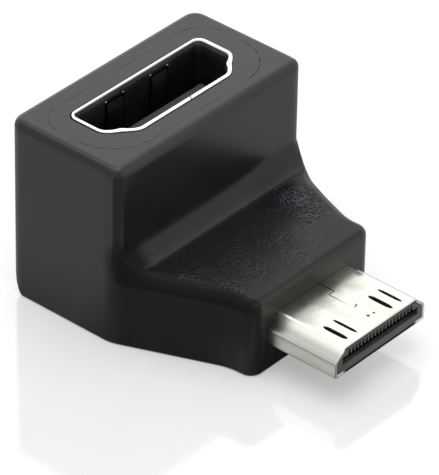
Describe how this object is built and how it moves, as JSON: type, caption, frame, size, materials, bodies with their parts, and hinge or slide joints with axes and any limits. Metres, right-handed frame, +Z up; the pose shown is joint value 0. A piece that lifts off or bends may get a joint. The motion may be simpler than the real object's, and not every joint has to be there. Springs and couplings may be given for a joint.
{
  "type": "right angle hdmi adapter",
  "caption": "Moulded right angle audio and video adapter with a full size socket opening upwards and a mini plug pointing forwards from a low tapered nose.",
  "frame": {"origin": "middle of the whole length and width, on the flat underside", "axes": "+X across the adapter, -Y along the mini plug towards its mouth, +Z up, the way the socket opens"},
  "size_m": [0.021, 0.0278, 0.0159],
  "materials": {
    "outer_moulding": "satin black moulding, fine grain on top of the nose",
    "inner_moulding": "satin black moulding",
    "socket_metal": "bright nickel plate",
    "plug_metal": "bright nickel plate",
    "insulator": "matt black moulding",
    "board": "green solder mask",
    "socket_contacts": "thin gold plate",
    "plug_contacts": "pale gold plate over nickel"
  },
  "bodies": {
    "root": {"housing": "outer_moulding", "inner_mould": "inner_moulding", "socket_shell": "socket_metal", "socket_insulator": "insulator", "circuit_board": "board", "plug_shell": "plug_metal", "plug_insulator": "insulator", "socket_contact_01": "socket_contacts", "socket_contact_02": "socket_contacts", "socket_contact_03": "socket_contacts", "socket_contact_04": "socket_contacts", "socket_contact_05": "socket_contacts", "socket_contact_06": "socket_contacts", "socket_contact_07": "socket_contacts", "socket_contact_08": "socket_contacts", "socket_contact_09": "socket_contacts", "socket_contact_10": "socket_contacts", "socket_contact_11": "socket_contacts", "socket_contact_12": "socket_contacts", "socket_contact_13": "socket_contacts", "socket_contact_14": "socket_contacts", "socket_contact_15": "socket_contacts", "socket_contact_16": "socket_contacts", "socket_contact_17": "socket_contacts", "socket_contact_18": "socket_contacts", "socket_contact_19": "socket_contacts", "plug_contact_01": "plug_contacts", "plug_contact_02": "plug_contacts", "plug_contact_03": "plug_contacts", "plug_contact_04": "plug_contacts", "plug_contact_05": "plug_contacts", "plug_contact_06": "plug_contacts", "plug_contact_07": "plug_contacts", "plug_contact_08": "plug_contacts", "plug_contact_09": "plug_contacts", "plug_contact_10": "plug_contacts", "plug_contact_11": "plug_contacts", "plug_contact_12": "plug_contacts", "plug_contact_13": "plug_contacts", "plug_contact_14": "plug_contacts", "plug_contact_15": "plug_contacts", "plug_contact_16": "plug_contacts", "plug_contact_17": "plug_contacts", "plug_contact_18": "plug_contacts", "plug_contact_19": "plug_contacts"}
  },
  "joints": []
}
